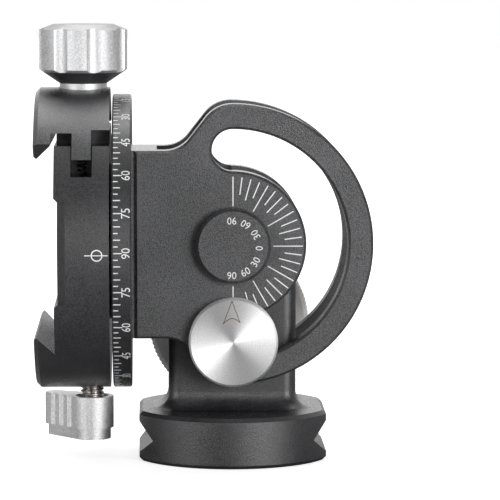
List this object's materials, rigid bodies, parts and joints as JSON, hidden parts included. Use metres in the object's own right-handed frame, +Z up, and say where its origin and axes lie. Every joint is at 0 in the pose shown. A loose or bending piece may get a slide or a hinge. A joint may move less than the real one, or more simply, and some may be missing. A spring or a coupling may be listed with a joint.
{
  "type": "monopod tilt head",
  "caption": "Tilt head for a monopod: dovetail foot with a flat stem, forked arm with arc slots, panning ring and a screw-driven quick-release clamp",
  "frame": {"origin": "centre of the foot's underside, at the mouth of the monopod socket", "axes": "+X from the clamp towards the arm's loop, +Y away from the scale side, towards the lock knob, +Z up"},
  "size_m": [0.0682, 0.063, 0.0884],
  "materials": {
    "black_anodised": "matte",
    "grey_anodised": "matte",
    "silver_turned": "satin",
    "silver_blasted": "satin",
    "silver_knurled": "satin",
    "steel": "satin",
    "black_steel": "satin",
    "browned_steel": "satin",
    "spring_steel": "satin",
    "bronze": "satin",
    "slide_plastic": "matte",
    "black_plastic": "matte"
  },
  "bodies": {
    "foot": {"foot_stem": "black_anodised", "thread_insert": "steel", "pivot_bush_front": "bronze", "pivot_bush_rear": "bronze", "pivot_washer_front": "slide_plastic", "pivot_washer_rear": "slide_plastic", "lock_bolt": "steel", "index_disc": "silver_turned", "index_key": "steel", "front_slot_washer": "black_plastic", "rear_slot_washer": "black_plastic", "rear_slot_sleeve": "steel"},
    "lock_knob": {"lock_knob": "silver_knurled", "lock_knob_insert": "steel", "lock_knob_cap": "black_anodised"},
    "tilt_arm": {"tilt_arm": "grey_anodised", "pivot_shaft": "steel", "pivot_cap_front": "black_anodised", "pivot_cap_rear": "black_anodised", "pan_ring": "black_anodised", "ring_screws": "black_steel", "pan_dowels": "steel", "pan_spindle": "steel", "pan_retainer": "steel", "pan_bolt": "black_steel", "pan_washer": "slide_plastic"},
    "clamp": {"clamp_body": "black_anodised", "screw_insert": "steel", "jaw_springs": "spring_steel", "brake_shoe": "bronze"},
    "jaw": {"moving_jaw": "grey_anodised", "jaw_washer": "steel"},
    "clamp_knob": {"clamp_knob": "silver_blasted", "knob_core": "black_anodised", "knob_collar": "silver_turned", "clamp_screw": "steel"},
    "pan_lever": {"pan_lever": "silver_blasted", "lever_stud": "browned_steel", "lever_screw": "steel"}
  },
  "joints": [
    {"name": "tilt", "type": "hinge", "parent": "foot", "child": "tilt_arm", "pos_m": [0, 0, 0.0442], "axis": [0, 1, 0], "range_deg": [0, 180]},
    {"name": "lock_knob_turn", "type": "hinge", "parent": "foot", "child": "lock_knob", "pos_m": [0, 0.022, 0.0247], "axis": [0, 1, 0], "range_deg": [0, 360]},
    {"name": "pan", "type": "hinge", "parent": "tilt_arm", "child": "clamp", "pos_m": [-0.03, 0, 0.0442], "axis": [-1, 0, 0], "continuous": true},
    {"name": "jaw_slide", "type": "slide", "parent": "clamp", "child": "jaw", "axis": [0, 0, 1], "range_m": [-0.0022, 0.002], "deforming": ["jaw_springs"]},
    {"name": "clamp_knob_turn", "type": "hinge", "parent": "jaw", "child": "clamp_knob", "pos_m": [-0.0302, 0, 0.0792], "axis": [0, 0, 1], "range_deg": [-793, 721]},
    {"name": "pan_lever_turn", "type": "hinge", "parent": "clamp", "child": "pan_lever", "pos_m": [-0.02869, 0, 0.0092], "axis": [0, 0, 1], "range_deg": [-60, 30]}
  ],
  "couplings": [
    {"joint": "clamp_knob_turn", "follows": "jaw_slide", "rad_per_m": 6283.2}
  ]
}
